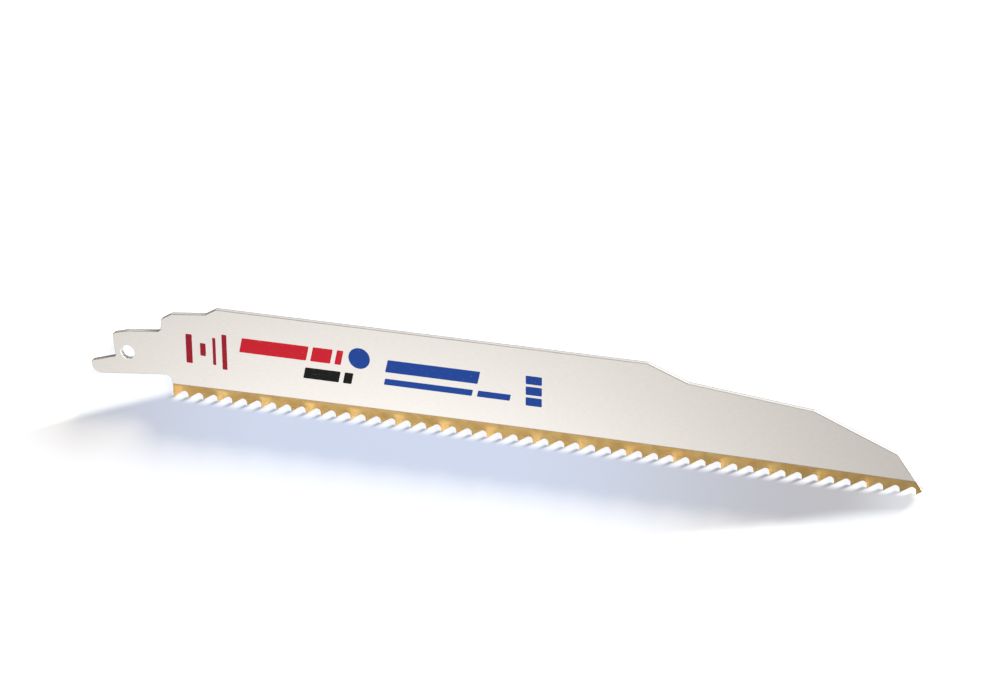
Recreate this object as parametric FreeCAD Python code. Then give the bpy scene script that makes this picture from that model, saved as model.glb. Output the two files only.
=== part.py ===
"""Reciprocating saw blade: a two-metal demolition blade lying on its side, printed face up.

Millimetres. The origin is the centre of the tang hole, halfway through the thickness. +X runs along
the tooth line towards the nose, +Y towards the spine and +Z out of the printed face. Heights are
measured from the gullet line, the straight line along the tops of the gullets.
"""
import FreeCAD, Part
from FreeCAD import Vector
from math import asin, atan2, ceil, cos, hypot, pi, radians, sin, tan
import os

INCH = 25.4

# Strip
overall_length = 9 * INCH       # end of the tongue to the nose point, along the tooth line
thickness = 1.57
spine_height = 25.3             # gullet line to the straight spine
seam_height = 2.1               # gullet line to the weld between the two metals
edge_break = 0.15               # chamfer round both faces

# Tang, square to its own axis, which passes through the hole and is canted to the tooth line
tang_cant = 6.0                 # degrees
tang_width = 12.7
tang_hole = 4.0
hole_height = 9.45              # gullet line to the hole
shoulder_reach = 3.7            # hole to the shoulder, along the tang
shoulder_slope = 9.2            # degrees, lead-in at the top of the shoulder
shoulder_slope_end = 1.0        # hole to the end of the lead-in
tongue_reach = 11.35            # hole to the end of the tongue
tongue_height = 3.7             # at its end, up from the lower edge of the tang
tongue_rise = 10.8              # degrees, upper edge of the tongue
tongue_round = 2.8
corner_round = 0.8
inner_round = 0.7

# Heel and neck, where the tang widens into the body
first_tip = 13.05               # hole to the first tooth, along the tooth line
heel_lean = 4.0                 # degrees, back from square
heel_round = 2.0
neck_reach = 10.1               # hole to the neck's upright edge
neck_height = 20.5              # top of the upright edge
neck_round = 1.5
step_offset = 11.5              # step above the tang's axis, parallel to it
step_start = 13.2               # hole to the start of the step
step_end = 23.0
spine_start = 26.2              # hole to the start of the spine

# Nose: each corner by its distance back from the nose point and its height
spine_end_back = 72.4
dip_back = 61.6
dip_height = 21.05
taper_back = 28.5
taper_height = 17.7
end_cut_back = 6.6
end_cut_height = 8.5
end_cut_round = 1.5
nose_depth = 0.8                # nose point below the gullet line

# Teeth
teeth_per_inch = 6
tooth_depth = 2.0               # gullet line to the tips
rake_lean = 2.0                 # degrees, cutting face back from square
gullet_radius = 1.0
tooth_set = 0.3                 # sideways reach of a set tip
set_order = (1, 0, -1)          # towards the printed face, straight, away from it

pitch = INCH / teeth_per_inch
rake = radians(rake_lean)


def at(x, height):
    """Point at x, this far above the gullet line."""
    return Vector(x, height - hole_height, 0)


def on_tang(along, across):
    """Point in the tang's own canted axes."""
    cant = radians(tang_cant)
    return Vector(along * cos(cant) - across * sin(cant), along * sin(cant) + across * cos(cant), 0)


def crossing(point, direction, other, other_direction):
    """Where two lines in the blade's plane cross."""
    gap = other - point
    turn = direction.x * other_direction.y - direction.y * other_direction.x
    share = (gap.x * other_direction.y - gap.y * other_direction.x) / turn
    return point + direction * share


def rounded_face(corners):
    """Face inside a closed run of (corner, radius), with straight sides and arcs at the corners."""
    bends = []
    for place, (corner, radius) in enumerate(corners):
        back = (corners[place - 1][0] - corner).normalize()
        ahead = (corners[(place + 1) % len(corners)][0] - corner).normalize()
        half = back.getAngle(ahead) / 2
        middle = corner + (back + ahead).normalize() * (radius / sin(half) - radius)
        reach = radius / tan(half)
        bends.append((corner + back * reach, middle, corner + ahead * reach, radius))
    edges = []
    for place, (start, middle, end, radius) in enumerate(bends):
        if radius > 0:
            edges.append(Part.Arc(start, middle, end).toShape())
        edges.append(Part.LineSegment(end, bends[(place + 1) % len(bends)][0]).toShape())
    return Part.Face(Part.Wire(edges))


def slab(face, depth):
    """Prism on a face, centred on the blade's mid-plane."""
    prism = face.extrude(Vector(0, 0, depth))
    prism.translate(Vector(0, 0, -depth / 2))
    return prism


def heel_corners():
    """Inner corner under the tang and the foot of the heel at the first tooth's tip."""
    tip = at(first_tip, -tooth_depth)
    upright = Vector(-sin(radians(heel_lean)), cos(radians(heel_lean)), 0)
    inner = crossing(on_tang(0, -tang_width / 2), on_tang(1, 0), tip, upright)
    return [(inner, heel_round), (tip, 0)]


def nose_corners():
    """From the tip level at the end cut, up and back to the spine."""
    tongue_end = on_tang(tongue_round - tongue_reach, tongue_round - tang_width / 2).x - tongue_round
    nose = tongue_end + overall_length
    end_cut = at(nose - end_cut_back, end_cut_height)
    foot = crossing(end_cut, at(nose, -nose_depth) - end_cut, at(0, -tooth_depth), Vector(1, 0, 0))
    return [
        (foot, 0),
        (end_cut, end_cut_round),
        (at(nose - taper_back, taper_height), 0),
        (at(nose - dip_back, dip_height), 0),
        (at(nose - spine_end_back, spine_height), 0),
    ]


def neck_corners():
    """From the spine down the two slants and the step to the neck's upright edge."""
    step = on_tang(0, step_offset)
    along = on_tang(1, 0)
    return [
        (at(spine_start, spine_height), 0),
        (crossing(step, along, at(step_end, 0), Vector(0, 1, 0)), 0),
        (crossing(step, along, at(step_start, 0), Vector(0, 1, 0)), 0),
        (at(neck_reach, neck_height), corner_round),
    ]


def tang_corners():
    """From the neck out along the tang's upper edge, down the shoulder and round the tongue."""
    half = tang_width / 2
    tongue_top = tongue_height - half
    lead_in = (shoulder_reach + shoulder_slope_end) * tan(radians(shoulder_slope))
    tongue_gain = (tongue_reach - shoulder_reach) * tan(radians(tongue_rise))
    neck_foot = crossing(on_tang(0, half), on_tang(1, 0), at(neck_reach, 0), Vector(0, 1, 0))
    return [
        (neck_foot, neck_round),
        (on_tang(shoulder_slope_end, half), 0),
        (on_tang(-shoulder_reach, half - lead_in), corner_round),
        (on_tang(-shoulder_reach, tongue_top + tongue_gain), inner_round),
        (on_tang(-tongue_reach, tongue_top), corner_round),
        (on_tang(-tongue_reach, -half), tongue_round),
    ]


def blank_outline():
    """Outline of the blade while its tooth edge is still straight."""
    return rounded_face(heel_corners() + nose_corners() + neck_corners() + tang_corners())


def stamped_blank(outline):
    """Blank of full thickness, chamfered round both faces, with the tang hole punched through."""
    blank = slab(outline, thickness)
    rims = [edge for edge in blank.Edges if abs(edge.CenterOfMass.z) > thickness / 4]
    hole = Part.makeCylinder(tang_hole / 2, 2 * thickness, Vector(0, 0, -thickness))
    return blank.makeChamfer(edge_break, rims).cut(hole)


def tip_of(number):
    return at(first_tip + number * pitch, -tooth_depth)


def gullet_circle(number):
    """Circle of the gullet behind a tooth, touching the gullet line and the next cutting face."""
    to_next_face = (gullet_radius + (tooth_depth - gullet_radius) * sin(rake)) / cos(rake)
    centre = tip_of(number + 1) + Vector(-to_next_face, tooth_depth - gullet_radius, 0)
    return Part.Circle(centre, Vector(0, 0, 1), gullet_radius)


def back_angle():
    """Slope of a tooth's straight back, from its tip to where it runs into the gullet's round."""
    reach = gullet_circle(0).Center - tip_of(0)
    return atan2(reach.y, reach.x) + asin(gullet_radius / hypot(reach.x, reach.y))


def gullet_top(number):
    """The gullet's round above the level where the set begins, the same on both sides."""
    back = back_angle()
    return Part.ArcOfCircle(gullet_circle(number), pi / 2 - back, pi / 2 + back)


def edge_strip(teeth):
    """Straight strip of tool steel from the weld down to where the set begins."""
    left = gullet_top(-1).EndPoint
    right = gullet_top(teeth).StartPoint
    edges = []
    start = left
    for number in range(-1, teeth):
        arc = gullet_top(number)
        if number >= 0:
            edges.append(Part.LineSegment(start, arc.EndPoint).toShape())
        edges.append(arc.toShape())
        start = arc.StartPoint
    edges.append(Part.LineSegment(start, right).toShape())
    corners = [right, at(right.x, seam_height), at(left.x, seam_height), left]
    edges += Part.makePolygon(corners).Edges
    return slab(Part.Face(Part.Wire(Part.__sortEdges__(edges))), thickness)


def crown_face(number):
    """Side of one tooth below the level where the set begins."""
    arc = Part.ArcOfCircle(gullet_circle(number - 1), rake, pi / 2 - back_angle())
    outline = [arc.StartPoint, tip_of(number), gullet_top(number).EndPoint, arc.EndPoint]
    return Part.Face(Part.Wire([arc.toShape()] + Part.makePolygon(outline).Edges))


def leaning_slab(lean, teeth):
    """Space between the two sides of the crowns that are set to one side."""
    root = gullet_top(0).EndPoint.y
    tip = tip_of(0).y
    left = first_tip - pitch
    half = thickness / 2
    corners = [(root, -half), (tip, lean - half), (tip, lean + half), (root, half), (root, -half)]
    end = Part.Face(Part.makePolygon([Vector(left, y, z) for y, z in corners]))
    return end.extrude(Vector((teeth + 1) * pitch, 0, 0))


def crowns(outline, teeth):
    """Free ends of all teeth, each leaning to its side, trimmed by the heel and the end cut."""
    tall = thickness + 4 * tooth_set
    envelope = slab(outline, tall)
    nose_end = outline.BoundBox.XMax
    whole = [number for number in range(teeth) if tip_of(number + 1).x < nose_end]
    pieces = []
    for place, side in enumerate(set_order):
        group = [number for number in whole if number % len(set_order) == place]
        prisms = [slab(crown_face(number), tall) for number in group]
        pieces.append(Part.makeCompound(prisms).common(leaning_slab(side * tooth_set, teeth)))
    short = [slab(crown_face(number), thickness) for number in range(teeth) if number not in whole]
    return Part.makeCompound(pieces + short).common(envelope)


def make_backing_strip(blank):
    """Spring steel: tang, neck, spine and nose, down to the weld."""
    box = blank.BoundBox
    weld = at(0, seam_height).y
    upper = Part.makeBox(box.XLength, box.YMax - weld, thickness, Vector(box.XMin, weld, -thickness / 2))
    return blank.common(upper)


def make_cutting_edge(outline, blank):
    """Tool steel: the teeth and the strip they are milled from, under the weld."""
    teeth = ceil((outline.BoundBox.XMax - first_tip) / pitch)
    strip = edge_strip(teeth).common(blank)
    return strip.fuse(crowns(outline, teeth).Solids).removeSplitter()


def main():
    outline = blank_outline()
    blank = stamped_blank(outline)
    nodes = {
        "backing_strip": make_backing_strip(blank),
        "cutting_edge": make_cutting_edge(outline, blank),
    }
    os.makedirs("parts", exist_ok=True)
    for name, shape in nodes.items():
        print(name, "solids", len(shape.Solids), "valid", shape.isValid(), "mm3", round(shape.Volume, 2))
        shape.Solids[0].exportStep(f"parts/{name}.step")


main()
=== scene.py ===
"""Looks of a reciprocating saw blade that lies on its side, printed face up.

Metres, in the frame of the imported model: the origin is the centre of the tang hole, halfway through
the thickness, +X runs along the tooth line to the nose, +Y to the spine and +Z out of the printed face.
"""
from math import radians, tan

import bmesh
import bpy
from mathutils import Matrix, Vector


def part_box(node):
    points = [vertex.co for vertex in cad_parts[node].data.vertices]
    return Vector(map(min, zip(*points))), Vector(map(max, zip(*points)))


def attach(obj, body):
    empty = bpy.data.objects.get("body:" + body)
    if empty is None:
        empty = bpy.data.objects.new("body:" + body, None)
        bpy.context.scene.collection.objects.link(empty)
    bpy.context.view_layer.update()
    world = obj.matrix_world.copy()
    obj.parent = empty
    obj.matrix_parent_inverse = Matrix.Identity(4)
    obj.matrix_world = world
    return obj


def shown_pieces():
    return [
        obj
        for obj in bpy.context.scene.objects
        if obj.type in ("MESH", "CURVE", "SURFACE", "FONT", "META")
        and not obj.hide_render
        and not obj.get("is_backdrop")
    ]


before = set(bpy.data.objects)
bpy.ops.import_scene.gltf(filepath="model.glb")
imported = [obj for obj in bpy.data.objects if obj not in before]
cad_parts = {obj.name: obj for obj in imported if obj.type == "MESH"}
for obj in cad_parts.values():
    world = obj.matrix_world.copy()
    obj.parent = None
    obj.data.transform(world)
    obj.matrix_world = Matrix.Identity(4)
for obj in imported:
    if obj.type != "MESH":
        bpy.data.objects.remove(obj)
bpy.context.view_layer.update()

MM = 0.001

# Places on the blade, from the frame
edge_low, edge_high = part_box("cutting_edge")
strip_low, strip_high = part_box("backing_strip")
PRINTED_FACE = strip_high.z
FLOOR_LEVEL = edge_low.z
TIP_LINE = edge_low.y
NOSE = edge_high.x

# Teeth
TOOTH_DEPTH = 2.0 * MM
GULLET_LINE = TIP_LINE + TOOTH_DEPTH
PITCH = 25.4 * MM / 6
FIRST_TIP = 13.05 * MM

# Set: of every three teeth the first leans up, the second is straight and the third leans down
SET_REPEAT = 3
SET_REACH = edge_high.z - strip_high.z
SET_START = 0.178 * MM          # below the gullet line, where the teeth themselves begin to lean
SET_SLOPE = SET_REACH / (TOOTH_DEPTH - SET_START)
BEND_START = 1.45 * MM          # above the gullet line, where the metal begins to follow a set tooth
BEND_SOFTNESS = 0.8 * MM
BEND_MIDDLE = 0.30              # pitches from a tooth's tip to the middle of the metal that follows it
BEND_WIDTH = (0.75, 0.10)       # pitches from that middle to where the bend starts and is full
BEND_END = (47.9, 47.3)         # count of teeth over which the bend dies out at the nose

# Gold coating: its upper limit bows, highest above the gullet line at the middle of the blade
COATING_MIDDLE = 110 * MM
COATING_HEIGHT = 2.45 * MM
COATING_BOW = 0.069             # fall per metre squared from the middle, in metres
COATING_EDGE = 0.03 * MM
HAIRLINE = 0.16 * MM

# Which way a surface looks, by one part of its normal
ON_FACE = (0.80, 0.94)
SIDE_WALL = (0.50, 0.25)
TO_SPINE = (0.10, 0.30)
TO_NOSE = (0.10, 0.25)
TO_TANG = (-0.15, -0.45)

# Sheared walls: painted light inside the hole, painted shade along their lower edge elsewhere
HOLE_REACH = ((2.5 * MM) ** 2, (3.0 * MM) ** 2)     # squared distances from the hole's centre
LOWER_EDGE = (-0.35 * MM, -0.50 * MM)

# Patterns: the range of each one's values over which it comes in, and how strongly it shows
CLOUD_SCALE = 60.0
CLOUD_SHARE = 0.5
GRAIN_SCALE = 2600.0
GRAIN_STRETCH = (0.25, 1.0, 1.0)
GRAIN_RANGE = (0.30, 0.70)
GRAIN_SHARE = 0.07
GRAIN_DEPTH = 0.0015 * MM
MOTTLE_SCALE = 420.0
MOTTLE_RANGE = (0.38, 0.64)
PATCH_SCALE = 190.0
PATCH_RANGE = (0.46, 0.66)
PATCH_SHARE = 0.35
SPECKLE_SCALE = 1800.0
SPECKLE_RANGE = (0.62, 0.80)
SPECKLE_SHARE = 0.20
SPECKLE_DEPTH = 0.002 * MM

# Darker edges, walls and hairline, and gloss
DARK_EDGE_SHARE = 0.85
GOLD_WALL_SHARE = 0.9
HAIRLINE_SHARE = 0.7
GOLD_METALLIC = 0.5
PAINT_ROUGHNESS = 0.44
GOLD_SMOOTHER = -0.11
MOTTLE_ROUGHER = 0.05
INK_ROUGHNESS = 0.42
SPECKLE_ROUGHER = 0.15
BLADE_SPECULAR = 0.3
INK_SPECULAR = 0.1

# Print
INK_DEPTH = 0.02 * MM
INK_CORNER = 0.25 * MM
PRINT_SLANT = radians(12)

# Painted tongues of light on the floor, as the bright cutting faces would throw them, and painted shadow
# streaks between them
THROW_START = 0.85 * MM         # below the tips
THROW_SLANT = 1.5               # along the tooth line for each step away from it
THROW_SHIFT = 0.56 * MM
THROW_INSIDE = (0.10 * MM, -0.40 * MM)              # below that start, where single tongues melt together
THROW_HEEL = (FIRST_TIP - 3.0 * MM, FIRST_TIP)
THROW_NOSE = (NOSE + 0.5 * MM, NOSE - 2.5 * MM)
TONGUE_RISE = (0.0, 0.25)       # parts of a pitch, as are the next two
TONGUE_FALL = (0.92, 0.55)
STREAK_RISE = (0.60, 0.85)
TONGUE_REACH = (2.2 * MM, 0.0)
TONGUE_INNER = (GULLET_LINE + 3.0 * MM, GULLET_LINE + 1.0 * MM)
STREAK_REACH = (1.8 * MM, 0.2 * MM)
STREAK_NOSE = (NOSE, NOSE - 20 * MM)
STREAK_SHARE = 0.55

# Painted open light on the floor under the tang and beyond the nose, each past a slanting line
TANG_LINE_RISE = 0.9 * MM
TANG_LINE_SLOPE = 0.38
TANG_LIGHT_EDGE = (-2.0 * MM, 1.0 * MM)
TANG_LIGHT_END = (FIRST_TIP, FIRST_TIP - 0.8 * MM)
NOSE_LINE_DROP = 4.0 * MM
NOSE_LINE_SLOPE = 0.30
NOSE_LIGHT_EDGE = (-3.0 * MM, 3.0 * MM)
NEAR_NOSE = (195 * MM, 218 * MM)
NEAR_NOSE_SHARE = 0.45

# Floor glow, seen as the colour of its shade: bluish at the middle of the blade, painted greyer towards its
# ends
SHADE_MIDDLE = 75 * MM
SHADE_TURN = (30 * MM, 120 * MM)                    # distances from its middle
SHADE_LEFT = (-50 * MM, -15 * MM)
SHADE_RIGHT = (260 * MM, 225 * MM)
SHADE_OUTER = (TIP_LINE - 35 * MM, TIP_LINE - 15 * MM)
SHADE_INNER = (0.0, TIP_LINE)

# Floor, surroundings and camera
FLOOR_SIZE = 6.0
SURROUNDINGS_STRENGTH = 0.08
CAMERA_CLIP = (0.01, 20.0)
CAMERA_PLACE = (0.31795, 0.35325, 0.7082)
CAMERA_RIGHT = Vector((0.9578, 0.0, -0.2875))
CAMERA_FORWARD = Vector((-0.2616, -0.4152, -0.8713))
SENSOR_WIDTH = 36.0             # millimetres, as is the focal length
FOCAL_LENGTH = 112.2


def colour(red, green, blue):
    return (red, green, blue, 1.0)


PAINT = colour(0.695, 0.645, 0.590)
PAINT_CLOUD = colour(0.665, 0.617, 0.565)
PAINT_THIN = colour(0.30, 0.27, 0.24)
BARE_STEEL = colour(0.62, 0.61, 0.59)
# Dull steel, also used as painted shade on the walls that face the tang and along their lower edge
DULL_STEEL_AND_SHADE = colour(0.12, 0.12, 0.117)
# Painted light: near white on the hole's wall
PAINTED_LIGHT_IN_HOLE = colour(0.92, 0.92, 0.91)
GOLD = colour(0.405, 0.265, 0.092)
GOLD_DARK = colour(0.345, 0.215, 0.066)
GOLD_WALL = colour(0.13, 0.07, 0.02)
COPPER = colour(0.43, 0.22, 0.057)
HAIRLINE_GREY = colour(0.20, 0.18, 0.14)
RED_INK = colour(0.46, 0.012, 0.022)
DARK_RED_INK = colour(0.26, 0.010, 0.020)
BLACK_INK = colour(0.003, 0.003, 0.003)
BLUE_INK = colour(0.012, 0.045, 0.22)
SHADE = colour(0.48, 0.545, 0.70)
SHADE_AT_ENDS = colour(0.36, 0.36, 0.39)
# Painted shadow of the streaks, and painted light of the tongues and the open light on the floor
PAINTED_STREAK_SHADOW = colour(0.10, 0.09, 0.09)
PAINTED_FLOOR_LIGHT = colour(0.86, 0.88, 0.92)
FLOOR_PLAIN = colour(0.45, 0.45, 0.45)
FLOOR_SEEN = colour(0.95, 0.95, 0.95)
SURROUNDINGS = colour(0.93, 0.96, 1.0)
WHITE = colour(1.0, 1.0, 1.0)


class Value:
    """Output of a shader node. Arithmetic on it adds Math nodes."""

    def __init__(self, shader, socket):
        self.shader = shader
        self.socket = socket

    def maths(self, operation, *values):
        return self.shader.maths(operation, *values)

    def __add__(self, other):
        return self.maths("ADD", self, other)

    def __radd__(self, other):
        return self.maths("ADD", other, self)

    def __sub__(self, other):
        return self.maths("SUBTRACT", self, other)

    def __rsub__(self, other):
        return self.maths("SUBTRACT", other, self)

    def __mul__(self, other):
        return self.maths("MULTIPLY", self, other)

    def __rmul__(self, other):
        return self.maths("MULTIPLY", other, self)

    def __truediv__(self, other):
        return self.maths("DIVIDE", self, other)

    def __abs__(self):
        return self.maths("ABSOLUTE", self)

    def ramp(self, start, end):
        """0 up to start, 1 from end on, with a smooth rise between. A start above the end turns it round."""
        sockets = {"Value": self, "From Min": start, "From Max": end}
        return self.shader.add("MapRange", sockets, interpolation_type="SMOOTHSTEP")


class Shader:
    """Node tree of a material or of the world, whose nodes are added by expressions."""

    def __init__(self, owner):
        owner.use_nodes = True
        self.owner = owner
        self.tree = owner.node_tree
        self.tree.nodes.clear()

    def add(self, kind, sockets=(), output=0, **settings):
        """Adds a node, applies its settings, fills its sockets and returns one of its outputs."""
        node = self.tree.nodes.new("ShaderNode" + kind)
        for name, value in settings.items():
            setattr(node, name, value)
        for name, value in dict(sockets).items():
            if isinstance(value, Value):
                self.tree.links.new(value.socket, node.inputs[name])
            else:
                node.inputs[name].default_value = value
        return Value(self, node.outputs[output]) if node.outputs else None

    def place(self):
        """The object's own coordinates."""
        return self.add("TexCoord", output="Object")

    def axes(self, vector, names):
        """The named axes of a vector, one by one."""
        return [self.add("SeparateXYZ", {0: vector}, output=name) for name in names]

    def mix(self, share, first, second):
        """Colour between two colours."""
        return self.add("Mix", {0: share, 6: first, 7: second}, output=2, data_type="RGBA")

    def maths(self, operation, *values):
        return self.add("Math", dict(enumerate(values)), operation=operation)

    def largest(self, first, *others):
        """The largest of several values at each place."""
        for other in others:
            first = self.maths("MAXIMUM", first, other)
        return first

    def every_third(self, number, middle):
        """1 at one tooth of every three, whose middle lies at this count of pitches, and 0 at the others."""
        half = SET_REPEAT / 2
        turned = self.maths("FLOORED_MODULO", number - (middle - half), float(SET_REPEAT))
        return abs(turned - half).ramp(*BEND_WIDTH)

    def noise(self, vector, scale, detail=2.0, roughness=0.5):
        sockets = {"Vector": vector, "Scale": scale, "Detail": detail, "Roughness": roughness}
        return self.add("TexNoise", sockets, output="Fac")

    def stretched(self, vector, scale):
        """Coordinates scaled by axis, which draws a pattern out along the axes with small values."""
        return self.add("Mapping", {"Vector": vector, "Scale": scale})

    def bump(self, height):
        """Normal of a surface raised by a height in metres."""
        return self.add("Bump", {"Height": height, "Distance": 1.0, "Strength": 1.0})

    def backdrop_rays(self):
        """1 for the rays that see a white backdrop: the camera's, and those of shiny and clear things."""
        kinds = ("Is Camera Ray", "Is Glossy Ray", "Is Transmission Ray")
        return self.largest(*[self.add("LightPath", output=kind) for kind in kinds])

    def finish(self, surface, output="OutputMaterial"):
        self.add(output, {"Surface": surface})
        return self.owner


# Finishes

def blade_finish():
    """Satin warm grey paint down to the gold-coloured coating of the toothed edge, on both metals."""
    shader = Shader(bpy.data.materials.new("painted_and_gold_edged_steel"))
    place = shader.place()
    x, y, z = shader.axes(place, "XYZ")
    along, across, through = shader.axes(shader.add("TexCoord", output="Normal"), "XYZ")

    # Which part of the surface this is
    on_face = abs(through).ramp(*ON_FACE)
    side_wall = abs(through).ramp(*SIDE_WALL)
    broken_edge = (1 - on_face) * (1 - side_wall)
    outside_hole = (x * x + y * y).ramp(*HOLE_REACH)
    to_spine = across.ramp(*TO_SPINE)
    to_nose = along.ramp(*TO_NOSE)
    # walls that face the tang, which get painted shade
    to_tang = along.ramp(*TO_TANG) * outside_hole
    # lower edge of the walls, which gets painted shade
    lower_edge = z.ramp(*LOWER_EDGE) * outside_hole

    # Where the coating ends
    off_middle = x - COATING_MIDDLE
    limit = GULLET_LINE + COATING_HEIGHT - off_middle * off_middle * COATING_BOW
    above = y - limit
    gold = above.ramp(COATING_EDGE, -COATING_EDGE)
    line = abs(above).ramp(HAIRLINE, 0.0)

    # Sheared wall: bare steel, with painted light inside the hole and painted shade where it faces the tang
    # and along its lower edge
    wall = shader.mix(outside_hole, PAINTED_LIGHT_IN_HOLE, shader.mix(to_tang, BARE_STEEL, DULL_STEEL_AND_SHADE))
    wall = shader.mix(lower_edge, wall, DULL_STEEL_AND_SHADE)

    # Paint, darker on the broken edges, darkest where they face the nose
    cloud = shader.noise(place, CLOUD_SCALE, 3.0)
    grain = shader.noise(shader.stretched(place, GRAIN_STRETCH), GRAIN_SCALE)
    darker_edge = shader.mix(to_nose, PAINT_THIN, DULL_STEEL_AND_SHADE)
    paint = shader.mix(cloud * CLOUD_SHARE, PAINT, PAINT_CLOUD)
    paint = shader.mix(grain.ramp(*GRAIN_RANGE) * GRAIN_SHARE, paint, PAINT_THIN)
    paint = shader.mix(broken_edge * DARK_EDGE_SHARE, paint, darker_edge)
    paint = shader.mix(side_wall, paint, wall)

    # Gold, with mottled heat colours
    mottle = shader.noise(place, MOTTLE_SCALE, 4.0, 0.6)
    patches = shader.noise(place, PATCH_SCALE)
    coating = shader.mix(mottle.ramp(*MOTTLE_RANGE), GOLD, GOLD_DARK)
    coating = shader.mix(patches.ramp(*PATCH_RANGE) * PATCH_SHARE, coating, COPPER)
    coating = shader.mix(side_wall * GOLD_WALL_SHARE, coating, GOLD_WALL)
    coating = shader.mix(broken_edge * to_nose, coating, GOLD_WALL)
    coating = shader.mix(side_wall * to_spine, coating, wall)

    # Metal above a set tooth, pulled up or down with it
    number = (x - FIRST_TIP) / PITCH
    down = shader.maths("SMOOTH_MAX", GULLET_LINE + BEND_START - y, 0.0, BEND_SOFTNESS)
    pull = shader.maths("MINIMUM", down, BEND_START + SET_START) * SET_SLOPE
    pull = pull * on_face * number.ramp(*BEND_END)
    up_teeth = shader.every_third(number, BEND_MIDDLE)
    down_teeth = shader.every_third(number, BEND_MIDDLE + SET_REPEAT - 1)
    bend = pull * (up_teeth - down_teeth)

    base = shader.mix(gold, paint, coating)
    base = shader.mix(line * on_face * HAIRLINE_SHARE, base, HAIRLINE_GREY)
    return shader.finish(shader.add("BsdfPrincipled", {
        "Base Color": base,
        "Metallic": gold * GOLD_METALLIC,
        "Roughness": gold * GOLD_SMOOTHER + PAINT_ROUGHNESS + mottle * MOTTLE_ROUGHER,
        "Specular IOR Level": BLADE_SPECULAR,
        "Normal": shader.bump(grain * GRAIN_DEPTH + bend),
    }))


def ink_finish(name, base):
    """Printing ink, thin enough to break up at the paint's grain."""
    shader = Shader(bpy.data.materials.new(name))
    speckle = shader.noise(shader.place(), SPECKLE_SCALE, 3.0, 0.7)
    return shader.finish(shader.add("BsdfPrincipled", {
        "Base Color": shader.mix(speckle.ramp(*SPECKLE_RANGE) * SPECKLE_SHARE, base, PAINT),
        "Roughness": speckle * SPECKLE_ROUGHER + INK_ROUGHNESS,
        "Specular IOR Level": INK_SPECULAR,
        "Normal": shader.bump(speckle * SPECKLE_DEPTH),
    }))


def painted_tongues_and_streaks(shader, x, y):
    """Painted slanting tongues of light between the teeth, and the dark painted shadow that each tip leaves
    beside them.
    """
    below_tips = TIP_LINE - THROW_START - y
    slanted = (x + below_tips * THROW_SLANT - FIRST_TIP + THROW_SHIFT) / PITCH
    phase = shader.maths("FLOORED_MODULO", slanted, 1.0)
    inside = below_tips.ramp(*THROW_INSIDE)
    under_edge = x.ramp(*THROW_HEEL) * x.ramp(*THROW_NOSE)

    tongue = shader.largest(phase.ramp(*TONGUE_RISE) * phase.ramp(*TONGUE_FALL), inside)
    tongue = tongue * below_tips.ramp(*TONGUE_REACH) * under_edge * y.ramp(*TONGUE_INNER)
    # dark streak of painted shadow beside each tip
    streak = phase.ramp(*STREAK_RISE) * below_tips.ramp(*STREAK_REACH)
    streak = streak * (1 - inside) * under_edge * x.ramp(*STREAK_NOSE)
    return tongue, streak


def painted_open_light(shader, x, y):
    """Painted light that comes in under the tang and beyond the nose."""
    tang_line = TIP_LINE + TANG_LINE_RISE - (FIRST_TIP - x) * TANG_LINE_SLOPE
    under_tang = (y - tang_line).ramp(*TANG_LIGHT_EDGE) * x.ramp(*TANG_LIGHT_END)
    nose_line = TIP_LINE - NOSE_LINE_DROP - (NOSE - x) * NOSE_LINE_SLOPE
    past_nose = (nose_line - y).ramp(*NOSE_LIGHT_EDGE)
    return shader.largest(under_tang, past_nose, x.ramp(*NEAR_NOSE) * NEAR_NOSE_SHARE)


def floor_finish():
    """Pale floor that the camera and shiny surfaces see as white, with its shadow kept, and with light and
    shade painted into its glow near the blade.
    """
    shader = Shader(bpy.data.materials.new("pale_floor"))
    x, y = shader.axes(shader.place(), "XY")
    tongue, streak = painted_tongues_and_streaks(shader, x, y)
    lit = shader.largest(tongue, painted_open_light(shader, x, y))

    beside_blade = x.ramp(*SHADE_LEFT) * x.ramp(*SHADE_RIGHT)
    in_shadow = y.ramp(*SHADE_OUTER) * y.ramp(*SHADE_INNER) * beside_blade
    # painted shade, turning greyer towards the ends of the blade
    greyer = abs(x - SHADE_MIDDLE).ramp(*SHADE_TURN) * in_shadow
    shade = shader.mix(greyer, SHADE, SHADE_AT_ENDS)
    shade = shader.mix(streak * STREAK_SHARE, shade, PAINTED_STREAK_SHADOW)

    plain = shader.add("BsdfDiffuse", {"Color": FLOOR_PLAIN})
    dimmed = shader.add("BsdfDiffuse", {"Color": FLOOR_SEEN})
    # glow that paints the light tongues, the open light, the streak shadows and the greyer shade into the
    # floor
    glow = shader.add("Emission", {"Color": shader.mix(lit, shade, PAINTED_FLOOR_LIGHT), "Strength": 1.0})
    seen = shader.add("AddShader", {0: dimmed, 1: glow})
    return shader.finish(shader.add("MixShader", {0: shader.backdrop_rays(), 1: plain, 2: seen}))


# Printed marks

def add_object(name, mesh, finish):
    """Turns a finished bmesh into an object at the origin."""
    data = bpy.data.meshes.new(name)
    mesh.to_mesh(data)
    mesh.free()
    data.materials.append(finish)
    piece = bpy.data.objects.new(name, data)
    bpy.context.collection.objects.link(piece)
    return piece


def bar(mesh, left, right, low, high, slant=0.0, corner=INK_CORNER, steps=4):
    """Adds one flat block of ink. Left and right are along the tooth line, low and high above the gullets."""
    lean = (high - low) / 2 * tan(slant)
    corners = [(left - lean, low), (right - lean, low), (right + lean, high), (left + lean, high)]
    points = [mesh.verts.new((x, GULLET_LINE + y, PRINTED_FACE - INK_DEPTH / 2)) for x, y in corners]
    mesh.faces.new(points)
    bmesh.ops.bevel(
        mesh, geom=points, offset=corner, segments=steps, profile=0.5, affect="VERTICES", material=-1)


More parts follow.
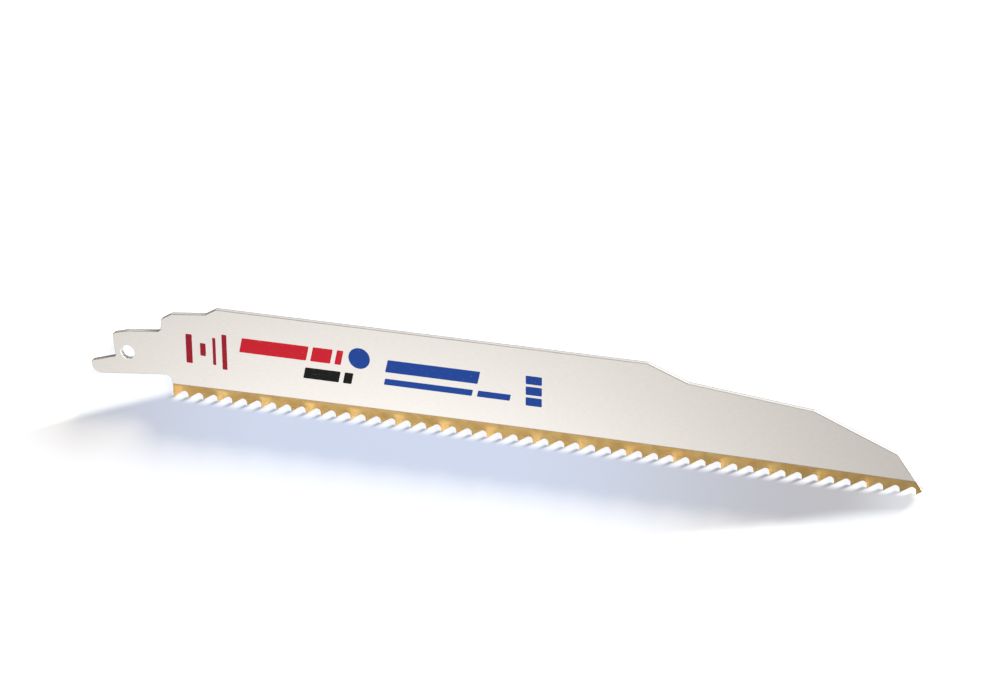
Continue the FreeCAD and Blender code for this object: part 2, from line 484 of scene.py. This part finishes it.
def printed(name, finish, bars):
    """Makes one piece of ink, thickened upwards, from flat blocks with their sides in millimetres."""
    mesh = bmesh.new()
    for left, right, low, high, *shape in bars:
        bar(mesh, left * MM, right * MM, low * MM, high * MM, *shape)
    raised = bmesh.ops.extrude_face_region(mesh, geom=mesh.faces[:])
    moved = [item for item in raised["geom"] if isinstance(item, bmesh.types.BMVert)]
    bmesh.ops.translate(mesh, vec=(0, 0, INK_DEPTH), verts=moved)
    bmesh.ops.recalc_face_normals(mesh, faces=mesh.faces[:])
    piece = add_object(name, mesh, finish)
    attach(piece, "root")


def make_print():
    """Plain bars, blocks and a disc in four inks, each with its left, right, low and high side."""
    disc = (0.0, 2.98 * MM, 10)     # no slant, corners of nearly half its width, and their steps
    printed("heel_print", ink_finish("dark_red_ink", DARK_RED_INK), [
        (17.2, 19.0, 8.7, 17.2),
        (21.3, 22.9, 11.3, 15.0),
        (24.9, 25.8, 9.0, 17.0),
        (27.6, 29.0, 8.0, 18.3),
    ])
    printed("red_print", ink_finish("red_ink", RED_INK), [
        (33.0, 52.0, 13.8, 18.0, PRINT_SLANT),
        (53.2, 58.8, 13.8, 18.0, PRINT_SLANT),
        (60.0, 61.8, 13.8, 18.0, PRINT_SLANT),
    ])
    printed("black_print", ink_finish("black_ink", BLACK_INK), [
        (51.0, 61.0, 8.6, 11.8, PRINT_SLANT),
        (62.2, 64.6, 8.6, 11.8, PRINT_SLANT),
    ])
    printed("blue_print", ink_finish("blue_ink", BLUE_INK), [
        (74.2, 99.8, 13.4, 17.0, PRINT_SLANT),
        (73.6, 98.0, 9.7, 11.5, PRINT_SLANT),
        (99.4, 108.4, 9.7, 11.5, PRINT_SLANT),
        (63.6, 69.6, 13.4, 19.4, *disc),
        (112.6, 117.0, 9.0, 11.4),
        (112.6, 117.0, 12.1, 14.5),
        (112.6, 117.0, 15.2, 17.6),
    ])


# Stage

def make_floor():
    mesh = bmesh.new()
    bmesh.ops.create_grid(mesh, x_segments=1, y_segments=1, size=FLOOR_SIZE)
    bmesh.ops.translate(mesh, vec=(0, 0, FLOOR_LEVEL), verts=mesh.verts[:])
    floor = add_object("floor", mesh, floor_finish())
    floor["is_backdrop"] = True
    return floor


def make_lamp(name, place, target, size, power, tint=(1.0, 1.0, 1.0), lit=None, glossy=True):
    """Rectangular soft lamp at a place, facing a target. It lights everything, or only the given pieces."""
    data = bpy.data.lights.new(name, "AREA")
    data.shape = "RECTANGLE"
    data.size, data.size_y = size
    data.energy = power
    data.color = tint
    lamp = bpy.data.objects.new(name, data)
    bpy.context.collection.objects.link(lamp)
    lamp.location = place
    lamp.rotation_euler = (Vector(target) - Vector(place)).to_track_quat("-Z", "Y").to_euler()
    lamp.visible_camera = False
    lamp.visible_glossy = glossy
    if lit is not None:
        reached = bpy.data.collections.new(name + "_reaches")
        for piece in lit:
            reached.objects.link(piece)
        lamp.light_linking.receiver_collection = reached


def make_lamps(blade, floor):
    """Light on the face and the teeth, light from the right behind, and a lamp for the floor's shadow."""
    middle = (0.10, 0.0, 0.0)
    make_lamp(
        "key", (0.078, -0.076, 0.105), (0.078, -0.005, 0.0), size=(0.16, 0.04), power=0.245,
        tint=(0.92, 0.95, 1.0), lit=blade, glossy=False)
    make_lamp(
        "top_softbox", (-0.45, -0.12, 1.10), (-0.45, -0.12, 0.0), size=(0.70, 0.24), power=3.4, lit=blade)
    make_lamp(
        "window", (1.60, 1.05, 1.00), middle, size=(1.2, 0.8), power=9.0, tint=(1.0, 0.98, 0.96))
    make_lamp(
        "rim", (1.55, 1.00, 0.15), middle, size=(1.0, 0.16), power=50.0,
        tint=(1.0, 0.99, 0.98), lit=blade, glossy=False)
    make_lamp(
        "low_window", (1.00, 1.75, 0.17), middle, size=(0.9, 0.12), power=230.0,
        tint=(1.0, 0.90, 0.70), lit=[floor], glossy=False)


def make_world():
    """Dim surroundings as far as they light things, white as far as they are seen."""
    world = bpy.data.worlds.new("surroundings")
    bpy.context.scene.world = world
    shader = Shader(world)
    dim = shader.add("Background", {"Color": SURROUNDINGS, "Strength": SURROUNDINGS_STRENGTH})
    white = shader.add("Background", {"Color": WHITE, "Strength": 1.0})
    shader.finish(shader.add("MixShader", {0: shader.backdrop_rays(), 1: dim, 2: white}), "OutputWorld")


def make_camera():
    data = bpy.data.cameras.new("camera")
    data.sensor_width = SENSOR_WIDTH
    data.lens = FOCAL_LENGTH
    data.clip_start, data.clip_end = CAMERA_CLIP
    camera = bpy.data.objects.new("camera", data)
    bpy.context.collection.objects.link(camera)
    up = CAMERA_RIGHT.cross(CAMERA_FORWARD)
    axes = Matrix((CAMERA_RIGHT, up, -CAMERA_FORWARD)).transposed().to_4x4()
    camera.matrix_world = Matrix.Translation(CAMERA_PLACE) @ axes
    bpy.context.scene.camera = camera


bpy.context.scene.view_settings.view_transform = "Standard"
finish = blade_finish()
for name, slot in (("backing_strip", "painted_backing"), ("cutting_edge", "gold_coated_edge")):
    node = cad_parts[name]
    node.data.materials.clear()
    node.data.materials.append(finish)
make_print()
floor = make_floor()
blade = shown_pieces()
make_world()
make_lamps(blade, floor)
make_camera()
